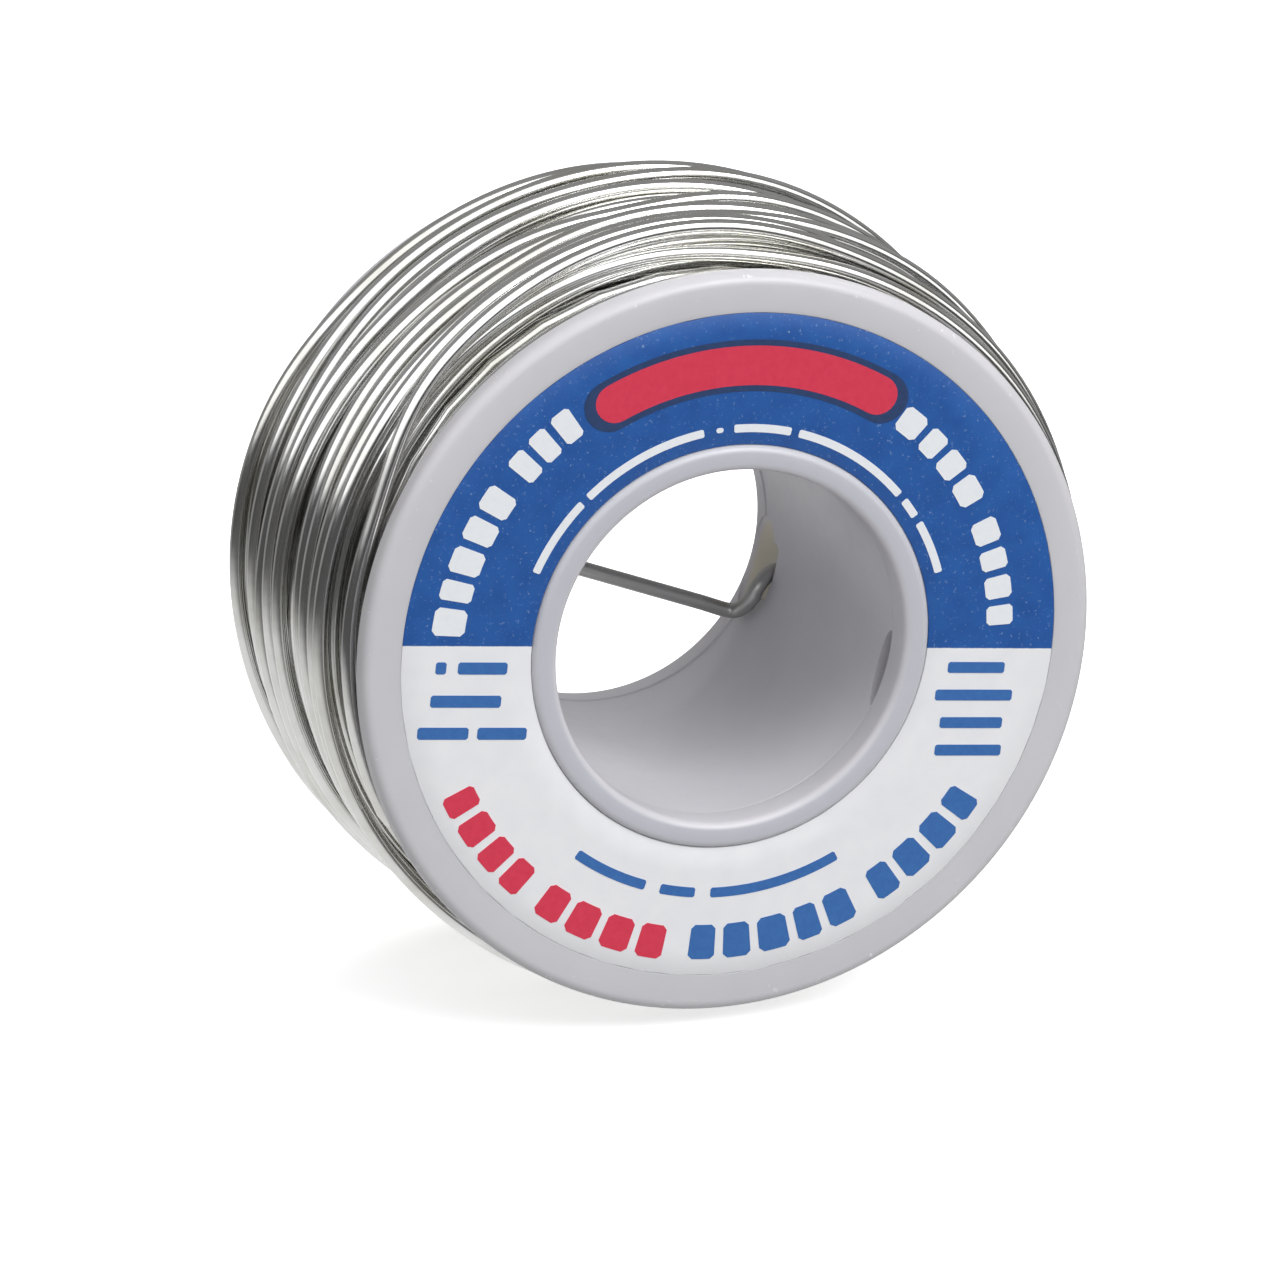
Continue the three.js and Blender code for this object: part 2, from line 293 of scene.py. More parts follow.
def drawn_tin_solder():
    """Tin-silver solder, extruded and drawn. It is soft and bright, with fine lines along the wire from
    the die, small dents from winding and a faint grey-olive bloom where it has dulled."""
    material, tree = new_material("drawn_tin_solder")
    place = add(tree, "TexCoord").outputs["Object"]
    along = add(tree, "UVMap", uv_map="wire").outputs[0]
    # die lines: 0.1 mm across and 30 mm long, which is coarser than real ones so that they show
    stretched = add(tree, "Mapping", {"Vector": along, "Scale": (48.0, 33.0, 1.0)})
    lines = add(tree, "TexNoise", {"Vector": stretched.outputs[0], "Scale": 1.0, "Detail": 3.0,
                                   "Roughness": 0.6})
    dull = add(tree, "TexNoise", {"Vector": place, "Scale": per_mm(11), "Detail": 4.0, "Roughness": 0.6})
    bloom = add(tree, "MapRange", {"Value": dull.outputs[0], LOW: 0.42, HIGH: 0.72})
    colour = add(tree, "Mix", {0: bloom.outputs[0], MIX_A: linear("#EDEDEC"), MIX_B: linear("#D6D5CE")},
                 data_type="RGBA")
    # the first 80 mm, which was handled, is dull
    run = add(tree, "SeparateXYZ", {0: along}).outputs[1]
    handled = add(tree, "MapRange", {"Value": run, LOW: 60 * MM, HIGH: 80 * MM, TO_LOW: 1.0, TO_HIGH: 0.0})
    colour = add(tree, "Mix", {
        0: handled.outputs[0], MIX_A: colour.outputs[MIXED], MIX_B: linear("#BDBDBA")}, data_type="RGBA")
    bright = add(tree, "MapRange", {"Value": bloom.outputs[0], TO_LOW: 0.12, TO_HIGH: 0.2})
    rough = add(tree, "Mix", {0: handled.outputs[0], VALUE_A: bright.outputs[0], VALUE_B: 0.38},
                data_type="FLOAT")
    streak = add(tree, "MapRange", {
        "Value": lines.outputs[0], LOW: 0.3, HIGH: 0.7, TO_LOW: -0.03, TO_HIGH: 0.05})
    total = add(tree, "Math", {0: rough.outputs[0], 1: streak.outputs[0]}, operation="ADD")
    dents = add(tree, "TexNoise", {"Vector": place, "Scale": per_mm(2.6), "Detail": 2.0})
    dented = add(tree, "Bump", {"Height": dents.outputs[0], "Strength": 0.12, "Distance": 0.02 * MM})
    drawn = add(tree, "Bump", {"Height": lines.outputs[0], "Strength": 0.08, "Distance": 0.005 * MM,
                               "Normal": dented.outputs[0]})
    shader = add(tree, "BsdfPrincipled", {
        "Base Color": colour.outputs[MIXED], "Metallic": 1.0, "Roughness": total.outputs[0],
        "Normal": drawn.outputs[0]})
    add(tree, "OutputMaterial", {"Surface": shader.outputs[0]})
    return material


def amber_rosin():
    """Set rosin flux: a clear amber resin, broken off glossy where the wire was cut."""
    material, tree = new_material("amber_rosin")
    place = add(tree, "TexCoord").outputs["Object"]
    grain = add(tree, "TexNoise", {"Vector": place, "Scale": per_mm(0.25), "Detail": 3.0})
    colour = add(tree, "Mix", {0: grain.outputs[0], MIX_A: linear("#8A5518"), MIX_B: linear("#D09A46")},
                 data_type="RGBA")
    bump = add(tree, "Bump", {"Height": grain.outputs[0], "Strength": 0.5, "Distance": 0.03 * MM})
    shader = add(tree, "BsdfPrincipled", {
        "Base Color": colour.outputs[MIXED], "Roughness": 0.22, "IOR": 1.53, "Normal": bump.outputs[0],
        "Subsurface Weight": 0.3, "Subsurface Radius": (1.0, 0.6, 0.3), "Subsurface Scale": 0.3 * MM})
    add(tree, "OutputMaterial", {"Surface": shader.outputs[0]})
    return material


def matt_white_acrylic():
    """The top of a light table, opal acrylic with a matt face: even, barely grained, and it glows a
    little."""
    material, tree = new_material("matt_white_acrylic")
    place = add(tree, "TexCoord").outputs["Object"]
    grain = add(tree, "TexNoise", {"Vector": place, "Scale": per_mm(30), "Detail": 2.0})
    colour = add(tree, "Mix", {0: grain.outputs[0], MIX_A: linear("#F4F4F4"), MIX_B: linear("#F8F8F8")},
                 data_type="RGBA")
    shader = add(tree, "BsdfPrincipled", {
        "Base Color": colour.outputs[MIXED], "Roughness": 0.9, "Emission Color": (1.0, 1.0, 1.0, 1.0),
        "Emission Strength": 0.6})
    add(tree, "OutputMaterial", {"Surface": shader.outputs[0]})
    return material


# Making meshes

def make_object(name, points, faces, material):
    """An object from points in millimetres and faces."""
    mesh = bpy.data.meshes.new(name)
    mesh.from_pydata((np.asarray(points, float) * MM).tolist(), [], faces)
    mesh.materials.append(material)
    mesh.polygons.foreach_set("use_smooth", [True] * len(mesh.polygons))
    made = bpy.data.objects.new(name, mesh)
    bpy.context.scene.collection.objects.link(made)
    return made


def polar(radius, angle, along):
    """Points at a radius and an angle in degrees round the spool's axis, and a place along it."""
    turn = np.radians(angle)
    return np.stack(np.broadcast_arrays(radius * np.cos(turn), along, radius * np.sin(turn)), -1)


def loft(name, sections, material):
    """A closed solid through sections with the same number of points."""
    count = len(sections[0])
    points = np.vstack(sections)
    faces = [[r * count + k, r * count + (k + 1) % count, (r + 1) * count + (k + 1) % count,
              (r + 1) * count + k] for r in range(len(sections) - 1) for k in range(count)]
    faces.append(list(range(count))[::-1])
    faces.append([(len(sections) - 1) * count + k for k in range(count)])
    return make_object(name, points, faces, material)


def ring_faces(steps, count):
    """Faces round a closed ring of steps, each with count points."""
    s, p = np.meshgrid(np.arange(steps), np.arange(count), indexing="ij")
    s2, p2 = (s + 1) % steps, (p + 1) % count
    return np.stack([s * count + p, s * count + p2, s2 * count + p2, s2 * count + p], -1).reshape(-1, 4)


# The wire

WINDING_SEED = 4
LAYERS = 9
PITCH = 3.62  # the winder's feed for each turn
FEED_SPREAD = 0.03  # how far the feed strays from it, as a share
DWELL = 0.35  # turns that the feed spends at a flange before it goes back
WAVES = ((0.31, 0.25), (0.53, 0.4), (0.93, 0.6), (1.7, 0.8))  # sway along the axis: turns and size
KNOCKS_PER_TURN, KNOCK_SIZE = 7, 1.2  # and what a turn is pushed about by those under it
SWAY = 0.3  # the whole of that, in millimetres
TURN_STEPS = 180
COARSE = 5  # the buried layers keep one step in this many
BURIED_SHARE = 0.66
WINDING_START, CUT_ANGLE = -2.0, 206.0  # degrees round from the right
WIRE_REACH = 17.75  # the wire's middle keeps this close to a flange
STIFF_STEPS = 8  # the wire can't follow a hollow shorter than about twice this
COIL_DRIFT = np.array([0.25, 0.0, 0.95])  # the outer layers lie a little high and to the right


def hump(count):
    weights = np.hanning(count + 2)[1:-1]
    return weights / weights.sum()


def smoothed(values, half):
    """Values averaged over half steps each way, with most weight in the middle."""
    return np.convolve(np.pad(values, half, mode="edge"), hump(2 * half + 1), mode="valid")


def widened(values, half):
    """The highest of the values within half steps each way."""
    padded = np.pad(values, half, mode="edge")
    return np.lib.stride_tricks.sliding_window_view(padded, 2 * half + 1).max(-1)


def run_along(line):
    """The length of a line up to each of its points."""
    return np.concatenate([[0], np.cumsum(np.linalg.norm(np.diff(line, axis=0), axis=1))])


def catmull_rom(points, spacing):
    """Points about spacing apart on a smooth curve through the given ones."""
    points = np.asarray(points, float)
    ends = np.vstack([2 * points[0] - points[1], points, 2 * points[-1] - points[-2]])
    line = []
    for a, b, c, d in zip(ends, ends[1:], ends[2:], ends[3:]):
        t = np.linspace(0, 1, 40, endpoint=False)[:, None]
        line.append(0.5 * (2 * b + (c - a) * t + (2 * a - 5 * b + 4 * c - d) * t**2
                           + (3 * b - a - 3 * c + d) * t**3))
    line = np.vstack(line + [points[-1:]])
    run = run_along(line)
    places = np.linspace(0, run[-1], max(2, int(round(run[-1] / spacing)) + 1))
    return np.stack([np.interp(places, run, line[:, k]) for k in range(3)], -1)


def start_tail():
    """From the cut tip across the bore, along its wall, and out through the rear slot to the hub."""
    wall = BORE_RADIUS - wire_radius - 0.2
    bend = polar(wall - 0.3, -34.5, SLOT_MIDDLE + 1.1)
    tip = polar(wall - 0.3, 173, SLOT_MIDDLE + 1.4)
    across = [bend + (tip - bend) * share for share in (1, 0.85, 0.6, 0.35, 0.12)]
    return across + [
        bend,
        polar(wall, -30.5, SLOT_MIDDLE - 0.4),
        polar(wall, -26, SLOT_MIDDLE - 1.35),
        polar(wall, -21.5, SLOT_MIDDLE - 1.5),
        polar(SLEEVE_BORE + 0.1, -16.6, SLOT_MIDDLE - 0.7),
        polar(SLEEVE_RADIUS + 0.5, -13.8, SLOT_MIDDLE - 0.4),
        polar(BARREL_BORE - 1, -13.2, SLOT_MIDDLE),
        polar(BARREL_RADIUS - 0.9, -12.6, SLOT_MIDDLE),
        polar(on_hub - 0.1, -10.2, SLOT_MIDDLE),
        polar(on_hub, -6.2, SLOT_MIDDLE),
        polar(on_hub, WINDING_START, SLOT_MIDDLE),
    ]


# Where the last turns lie: degrees before the cut end, and the place along the axis
LAST_TURNS = [
    (0, -17.3), (26, -16.4), (58, -15.2), (75, -14.5), (96, -13.2), (121, -12.9), (156, -12.7),
    (206, -12.5), (270, -12.8), (360, -13.3), (411, -13.1), (426, -12.8), (438, -12.2), (449, -11.2),
    (460, -9.9), (481, -9.7), (516, -9.6), (566, -9.3), (640, -9.5), (720, -9.7), (771, -9.4),
    (792, -8.9), (806, -8.0), (820, -7.0), (834, -6.6), (851, -6.5), (926, -6.0), (1010, -6.1),
    (1080, -6.2),
]
LAST_BLEND = 160  # degrees over which the winder's feed gives way to them
LAST_EXACT = 8  # degrees before the cut end that keep exactly to them


def traverse(random):
    """The winding's angle in turns and its place along the axis, step by step."""
    turns, places, side = [0.0], [SLOT_MIDDLE], -1
    for layer in range(LAYERS):
        last = layer == LAYERS - 1
        target = LAST_TURNS[0][1] if last else side * WIRE_REACH
        feed = PITCH * (1 + random.uniform(-FEED_SPREAD, FEED_SPREAD))
        turn = turns[-1] + abs(target - places[-1]) / feed
        if last:
            part = ((CUT_ANGLE - WINDING_START) / 360) % 1
            turn = round(turn - part) + part
        turns.append(turn)
        places.append(target)
        if not last:
            turns.append(turn + DWELL)
            places.append(target)
        side = -side
    count = int(round(turns[-1] * TURN_STEPS)) + 1
    turn = np.arange(count) / TURN_STEPS
    along = smoothed(np.interp(turn, turns, places), TURN_STEPS // 8)
    wander = np.zeros(count)
    for period, size in WAVES:
        phase = random.uniform(0, 2 * math.pi)
        wander += size * np.sin(2 * math.pi * turn / (period * (1 + random.uniform(-0.05, 0.05))) + phase)
    knocks = random.normal(size=int(turn[-1] * KNOCKS_PER_TURN) + 4)
    wander += KNOCK_SIZE * np.interp(turn * KNOCKS_PER_TURN, np.arange(len(knocks)), knocks)
    along = along + SWAY * smoothed(wander, TURN_STEPS // 16)
    before = (turn[-1] - turn) * 360
    set_back = [row[0] for row in LAST_TURNS]
    laid = np.interp(before, set_back, [row[1] for row in LAST_TURNS])
    share = np.clip((set_back[-1] - before) / LAST_BLEND, 0, 1)
    share = share * share * (3 - 2 * share)
    along = along * (1 - share) + smoothed(laid, 7) * share
    along = smoothed(np.clip(along, -WIRE_REACH, WIRE_REACH), 4)
    return turn, np.where(before < LAST_EXACT, laid, along)


def layer_heights(along):
    """The wire's radius at each step: on the hub, or on whatever turns lie under it."""
    count = len(along)
    rounds = -(-count // TURN_STEPS)
    old_along = np.full(rounds * TURN_STEPS, 1e9)
    old_along[:count] = along
    old_along = old_along.reshape(rounds, TURN_STEPS)
    old_height = np.full((rounds, TURN_STEPS), -1e9)
    height = np.full(count, on_hub)
    before = np.full(STIFF_STEPS, on_hub)
    for k in range(rounds):
        first, end = k * TURN_STEPS, min(count, (k + 1) * TURN_STEPS + STIFF_STEPS)
        rest = np.full(end - first, on_hub)
        if k:
            bins = np.arange(first, end) % TURN_STEPS
            apart = np.abs(along[first:end] - old_along[:k][:, bins])
            on = old_height[:k][:, bins] + np.sqrt(np.maximum(0, WIRE_DIAMETER**2 - apart**2))
            rest = np.maximum(rest, np.where(apart < WIRE_DIAMETER, on, on_hub).max(0))
        lie = smoothed(widened(np.concatenate([before, rest]), STIFF_STEPS), STIFF_STEPS)[STIFF_STEPS:]
        kept = min(TURN_STEPS, count - first)
        height[first:first + kept] = lie[:kept]
        old_height[k, :kept] = lie[:kept]
        before = rest[:kept][-STIFF_STEPS:]
    return height


def wire_line():
    """The whole wire's middle, from the cut tip in the bore to the cut end on the winding."""
    turn, along = traverse(np.random.default_rng(WINDING_SEED))
    height = layer_heights(along)
    step = np.arange(len(turn))
    keep = (step % COARSE == 0) | (turn > turn[-1] * BURIED_SHARE)
    wound = polar(height, WINDING_START + 360 * turn, along)
    wound += ((height - height.min()) / np.ptp(height))[:, None] * COIL_DRIFT
    wound = wound[keep]
    tail = catmull_rom(start_tail(), 0.5)
    return np.vstack([tail[:-1], wound])


WIRE_SIDES = 12
PINCH_LENGTH = 1.3  # side cutters pinch this much of each end towards a chisel
PINCH_IN, PINCH_OUT = 0.3, 0.08
HOLE_DEPTH = 1.2


def sweep_wire(name, line, material):
    """A round wire along a line, cut square at both ends round the hole for its flux."""
    ahead = np.gradient(line, axis=0)
    ahead /= np.linalg.norm(ahead, axis=1)[:, None]
    axis = np.array([0.0, 1.0, 0.0])
    across = axis - (ahead @ axis)[:, None] * ahead
    across /= np.linalg.norm(across, axis=1)[:, None]
    out = np.cross(across, ahead)
    if out[len(out) // 2] @ line[len(line) // 2] < 0:
        out = -out
    run = run_along(line)
    angle = math.pi + 2 * math.pi * np.arange(WIRE_SIDES) / WIRE_SIDES
    to_end = np.minimum(run, run[-1] - run)
    pinch = np.clip(1 - to_end / PINCH_LENGTH, 0, 1) ** 2
    flat, wide = 1 - PINCH_IN * pinch, 1 + PINCH_OUT * pinch
    rings = (line[:, None] + wire_radius * (
        flat[:, None, None] * np.cos(angle)[None, :, None] * out[:, None]
        + wide[:, None, None] * np.sin(angle)[None, :, None] * across[:, None]))
    sides = np.arange(WIRE_SIDES)
    after = (sides + 1) % WIRE_SIDES
    span = np.arange(len(line) - 1)[:, None] * WIRE_SIDES
    quads = np.stack([span + sides, span + WIRE_SIDES + sides, span + WIRE_SIDES + after, span + after], -1)
    # the texture's place: round the wire, and metres along it
    around = sides / WIRE_SIDES
    mark = np.zeros((len(line) - 1, WIRE_SIDES, 4, 2))
    mark[..., 0, 0] = mark[..., 1, 0] = around
    mark[..., 2, 0] = mark[..., 3, 0] = around + 1 / WIRE_SIDES
    mark[..., 0, 1] = mark[..., 3, 1] = run[:-1, None] * MM
    mark[..., 1, 1] = mark[..., 2, 1] = run[1:, None] * MM
    points, faces, marks = [rings.reshape(-1, 3)], quads.reshape(-1, 4).tolist(), [mark.reshape(-1, 2)]
    hole = FLUX_DIAMETER / 2 + FLUX_GAP
    count = len(line) * WIRE_SIDES
    for end, inward in ((0, 1), (len(line) - 1, -1)):
        ring = end * WIRE_SIDES
        spoke = np.cos(angle)[:, None] * out[end] + np.sin(angle)[:, None] * across[end]
        mouth = line[end] + hole * spoke
        points += [mouth, mouth + inward * HOLE_DEPTH * ahead[end]]
        for i, j in zip(sides.tolist(), after.tolist()):
            cap = [ring + i, count + i, count + j, ring + j]
            wall = [count + i, count + WIRE_SIDES + i, count + WIRE_SIDES + j, count + j]
            faces += [cap, wall] if inward < 0 else [cap[::-1], wall[::-1]]
            marks.append(np.tile([[i / WIRE_SIDES, run[end] * MM]], (8, 1)))
        bottom = [count + WIRE_SIDES + i for i in sides.tolist()]
        faces.append(bottom if inward > 0 else bottom[::-1])
        marks.append(np.zeros((WIRE_SIDES, 2)))
        count += 2 * WIRE_SIDES
    made = make_object(name, np.vstack(points), faces, material)
    layer = made.data.uv_layers.new(name="wire")
    layer.data.foreach_set("uv", np.vstack(marks).astype(np.float32).ravel())
    made.data.set_sharp_from_angle(angle=math.radians(50))
    return made


PLUG_SIDES = 16
PLUG_RINGS = ((0.27, 1.15), (0.27, 0.16), (0.2, 0.07), (0.1, 0.12))  # radius, and depth in the wire
PLUG_UNEVEN = 0.03


def flux_plug(name, at, ahead, material):
    """The flux that shows in a cut end, a little hollow and uneven."""
    ahead = Vector(ahead).normalized()
    side = ahead.orthogonal().normalized()
    other = ahead.cross(side)
    sections = []
    for radius, depth in PLUG_RINGS:
        uneven = PLUG_UNEVEN if depth < 0.2 else 0.0  # its buried end is plain
        ring = []
        for k in range(PLUG_SIDES):
            turn = 2 * math.pi * k / PLUG_SIDES
            ring.append(tuple(Vector(at) + ahead * (depth + uneven * math.sin(3 * turn))
                              + (side * math.cos(turn) + other * math.sin(turn)) * radius))
        sections.append(ring)
    return loft(name, sections, material)


solder = drawn_tin_solder()
rosin = amber_rosin()
line = wire_line()
wire = sweep_wire("solder_wire", line, solder)
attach(wire, "root")
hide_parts("wire_full_layers", "wire_outer_layer", "wire_start_tail", "wire_free_end")
start_plug = flux_plug("flux_in_start_tip", line[0], line[1] - line[0], rosin)
end_plug = flux_plug("flux_in_cut_end", line[-1], line[-2] - line[-1], rosin)
for plug, node in ((start_plug, "flux_core_in_start_tail"), (end_plug, "flux_core_in_free_end")):
    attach(plug, "root")
    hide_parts(node)


# The spool's two mouldings

SEGMENTS = 256


def rounded(corners, steps=6):
    """A closed outline of radius and place along the axis, with each corner eased by its radius."""
    outline = []
    for k, (r, y, ease) in enumerate(corners):
        here = np.array([r, y], float)
        back = np.array(corners[k - 1][:2]) - here
        on = np.array(corners[(k + 1) % len(corners)][:2]) - here
        back_length, on_length = np.linalg.norm(back), np.linalg.norm(on)
        if ease <= 0:
            outline.append(here)
            continue
        back, on = back / back_length, on / on_length
        half = math.acos(max(-1, min(1, float(back @ on)))) / 2
        setback = ease / math.tan(half)
        centre = here + (back + on) / np.linalg.norm(back + on) * (ease / math.sin(half))
        a, b = here + back * setback - centre, here + on * setback - centre
        sweep = math.pi - 2 * half
        for i in range(steps + 1):
            t = i / steps
            arm = a * math.sin((1 - t) * sweep) + b * math.sin(t * sweep)
            outline.append(centre + arm / math.sin(sweep))
    return np.array(outline)


def turned(name, outline, side, material):
    """A ring turned about the spool's axis, on the +Y side or, mirrored, on the -Y side."""
    outline = outline * np.array([1.0, side])
    x, y = outline[:, 0], outline[:, 1]
    area = float(np.sum(x * np.roll(y, -1) - np.roll(x, -1) * y))
    if area < 0:
        outline = outline[::-1]
    count = len(outline)
    angles = np.arange(SEGMENTS) * 360 / SEGMENTS
    points = polar(outline[None, :, 0], angles[:, None], outline[None, :, 1]).reshape(-1, 3)
    return make_object(name, points, ring_faces(SEGMENTS, count).tolist(), material)


def cut(piece, cutter):
    """Cuts one mesh out of another, and drops the cutter."""
    change = piece.modifiers.new("cut", "BOOLEAN")
    change.operation, change.object, change.solver = "DIFFERENCE", cutter, "EXACT"
    bpy.context.view_layer.update()
    graph = bpy.context.evaluated_depsgraph_get()
    made = bpy.data.meshes.new_from_object(piece.evaluated_get(graph))
    piece.modifiers.clear()
    old, piece.data = piece.data, made
    bpy.data.meshes.remove(old)
    bpy.data.objects.remove(cutter)


HUB_MIDDLE = 19.0  # lengths round the hub are measured at this radius
SLOT_STEPS, SCOOP_STEPS = 32, 64
# Along the axis, the rear slot is full width and the front one is a slit that opens out behind its edge
REAR_SLOT, FRONT_SLIT = (14.6, 16.6), (17.05, 17.95)
FRONT_SPREAD = 2.6
# The scoops' sections: radius, half their length round the hub, and their start and end along the axis
REAR_RAMP = ((15.5, 6.0, 15.3, 22.6), (17.88, 5.3, 15.55, 21.45), (18.7, 4.1, 15.7, 19.5),
             (19.5, 3.0, 15.85, 17.8))
FRONT_WELL = ((15.5, 4.4, 15.5, 20.7), (17.88, 4.2, 15.6, 20.5), (19.9, 3.9, 15.75, 20.3))


def hub_cutter(name, side, rings, material):
    """A closed cutter through rings at growing radii. A ring's places are measured round the hub from
    the slot's middle, and along the axis."""
    sections = []
    for radius, ring in rings:
        run, along = np.array(ring).T
        section = polar(radius, SLOT_ANGLE + np.degrees(run / HUB_MIDDLE), side * along)
        sections.append(section[::-1] if side > 0 else section)
    return loft(name, sections, material)


def slot_cutter(side, material):
    """The through hole that the wire leaves by, at the rear, and its twin slit at the front."""
    low, high = REAR_SLOT if side > 0 else FRONT_SLIT
    half, middle = (high - low) / 2, (high + low) / 2
    straight = SLOT_LENGTH / 2 - half
    spread = 1.0 if side > 0 else FRONT_SPREAD
    rings = []
    for radius, wide in ((BORE_RADIUS - 3, 1.0), (SLEEVE_BORE + 0.3, 1.0), (SLEEVE_BORE + 0.9, spread),
                         (BARREL_RADIUS + 1, spread)):
        ring = []
        for k in range(SLOT_STEPS):
            turn = 2 * math.pi * (k + 0.5) / SLOT_STEPS
            end = math.copysign(straight, math.cos(turn))
            ring.append((end + half * math.cos(turn), middle + half * wide * math.sin(turn)))
        rings.append((radius, ring))
    return hub_cutter("slot_cutter", side, rings, material)


def scoop_cutter(side, material):
    """The long lens-shaped scoop round the slot. At the rear it ramps out to the end of the bore, and at
    the front it stops at the lip."""
    rings = []
    for radius, half_run, start, end in (REAR_RAMP if side > 0 else FRONT_WELL):
        ring = []
        for k in range(SCOOP_STEPS):
            turn = 2 * math.pi * k / SCOOP_STEPS
            ring.append((half_run * math.cos(turn),
                         (start + end) / 2 + (end - start) / 2 * math.sin(turn)))
        rings.append((radius, ring))
    return hub_cutter("scoop_cutter", side, rings, material)


def flange_corners():
    """The flange's outside, from the bore over the collar and the label's seat to the rim."""
    return [
        (BORE_RADIUS, COLLAR_CREST, 0.75), (COLLAR_RADIUS, COLLAR_CREST, 0.75),
        (COLLAR_RADIUS, SEAT_FACE, 0.05), (SEAT_RADIUS, SEAT_FACE, 0.03), (SEAT_RADIUS, OUTER_FACE, 0.04),
        (FLANGE_RADIUS, OUTER_FACE, 1.1), (FLANGE_RADIUS, INNER_FACE, 0.5),
    ]


def front_moulding(material):
    """Flange, lip, socket for the sleeve, and the barrel that the wire is wound on."""
    corners = flange_corners() + [
        (BARREL_RADIUS, INNER_FACE, 0.25), (BARREL_RADIUS, FIT_GAP - INNER_FACE, 0.3),
        (BARREL_BORE, FIT_GAP - INNER_FACE, 0.3), (BARREL_BORE, INNER_FACE, 0.2),
        (SOCKET_RADIUS, INNER_FACE, 0.2), (SOCKET_RADIUS, INNER_FACE - JOINT_DEPTH, 0.3),
        (SOCKET_BORE, INNER_FACE - JOINT_DEPTH, 0.3), (SOCKET_BORE, INNER_FACE, 0.1),
        (SLEEVE_RADIUS, INNER_FACE, 0.1), (SLEEVE_RADIUS, INNER_FACE - LIP_LENGTH, 0.1),
        (BORE_RADIUS, INNER_FACE - LIP_LENGTH, 0.12),
    ]
    piece = turned("front_moulding", rounded(corners), -1, material)
    for side in (-1, 1):
        cut(piece, slot_cutter(side, material))
    return piece


def rear_moulding(material):
    """Flange, the spigot that plugs the barrel, and the sleeve that lines the bore."""
    start = LIP_LENGTH + FIT_GAP - INNER_FACE
    corners = flange_corners() + [
        (SPIGOT_RADIUS, INNER_FACE, 0.2), (SPIGOT_RADIUS, INNER_FACE - JOINT_DEPTH, 0.3),
        (SPIGOT_BORE, INNER_FACE - JOINT_DEPTH, 0.3), (SPIGOT_BORE, INNER_FACE, 0.2),
        (SLEEVE_RADIUS, INNER_FACE, 0.2), (SLEEVE_RADIUS, start, 0.25), (SLEEVE_BORE, start, 0.2),
        (SLEEVE_BORE, INNER_FACE, 0.05), (BORE_RADIUS, INNER_FACE + 0.15, 0.05),
    ]
    piece = turned("rear_moulding", rounded(corners), 1, material)
    for side in (-1, 1):
        cut(piece, slot_cutter(side, material))
        cut(piece, scoop_cutter(side, material))
    return piece


plastic = moulded_polystyrene()
for moulding, node in ((front_moulding(plastic), "front_flange_and_barrel"),
                       (rear_moulding(plastic), "rear_flange_and_sleeve")):
    moulding.data.set_sharp_from_angle(angle=math.radians(32))
    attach(moulding, "root")
    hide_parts(node)


# The labels

LABEL_INNER = COLLAR_RADIUS + 0.01
LABEL_OUTER = SEAT_RADIUS + 0.02
LABEL_STEPS = 720


def label_ring(name, side, material, seed):
    """A die-cut paper ring, with a slightly ragged rim and a surface that isn't quite flat."""
    random = np.random.default_rng(seed)
    angle = np.arange(LABEL_STEPS) * 360 / LABEL_STEPS
    # how many in a turn, phase and strength
    waves = [(n, random.uniform(0, 6.28), random.normal()) for n in range(2, 60)]

    def uneven(size, low, high):
        """Waves of up to size, with low to high of them in a turn."""
        total = sum(g * np.sin(n * np.radians(angle) + p) for n, p, g in waves if low <= n < high)
        return size * total / np.abs(total).max()

    rim = LABEL_OUTER - 0.06 + uneven(0.05, 20, 60)
    hole = LABEL_INNER + 0.03 + uneven(0.02, 5, 40)
    radii = [hole, hole, hole + 0.04] + [hole + (rim - hole) * s for s in (0.2, 0.4, 0.6, 0.8)] + [
        rim - 0.04, rim, rim]
    lie = uneven(0.012, 2, 9)
    face = LABEL_FACE - 0.02
    heights = [SEAT_FACE + 0.02, face - 0.03, face] + [face + lie * s for s in (0.6, 1, 1, 0.6)] + [
        face, face - 0.03, SEAT_FACE + 0.02]
    rings = [polar(r, angle, side * np.broadcast_to(h, angle.shape)) for r, h in zip(radii, heights)]
    points = np.stack(rings, 1).reshape(-1, 3)
    faces = ring_faces(LABEL_STEPS, len(rings))
    if side > 0:
        faces = faces[:, ::-1]
    made = make_object(name, points, faces.tolist(), material)
    made.data.set_sharp_from_angle(angle=math.radians(40))
    return made


INK_FOOT, INK_FACE = -0.03, 0.012  # from the paper's face, so that ink sinks in where it isn't flat
LETTER_WIDTHS = 0.55, 0.8  # narrowest and widest, against each other
LETTER_GAP, WORD_GAP = 0.22, 0.62
CORNER_EASE = 0.16
BAND_END_STEPS = 12


